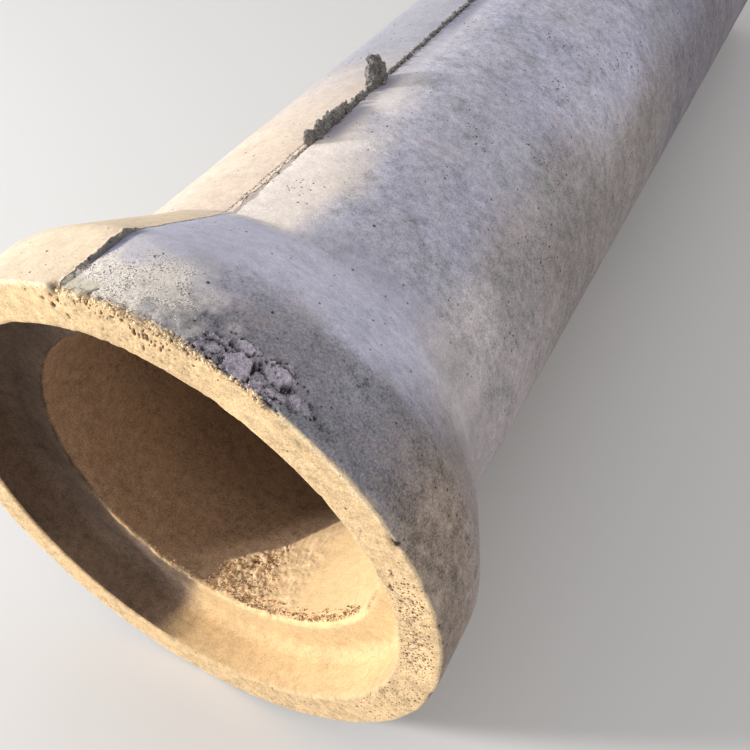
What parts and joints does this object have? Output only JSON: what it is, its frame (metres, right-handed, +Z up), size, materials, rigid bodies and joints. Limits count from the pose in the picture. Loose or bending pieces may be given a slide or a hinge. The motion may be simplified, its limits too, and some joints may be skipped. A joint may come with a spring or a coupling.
{
  "type": "concrete sewer pipe",
  "caption": "Straight cast concrete sewer pipe with a flared socket bell at one end and a plain spigot at the other, lying on its side.",
  "frame": {"origin": "on the floor, under the middle of the pipe's footprint as it lies", "axes": "+Z up; +Y along the pipe from the bell's face towards the spigot end, the pipe's own axis dipping 1.64 degrees from it because the bell's shoulder holds that end higher; +X to the right as seen from the bell"},
  "size_m": [0.8798, 3.1042, 0.8826],
  "materials": {
    "concrete": "matte"
  },
  "bodies": {
    "root": {"concrete_pipe": "concrete"}
  },
  "joints": []
}
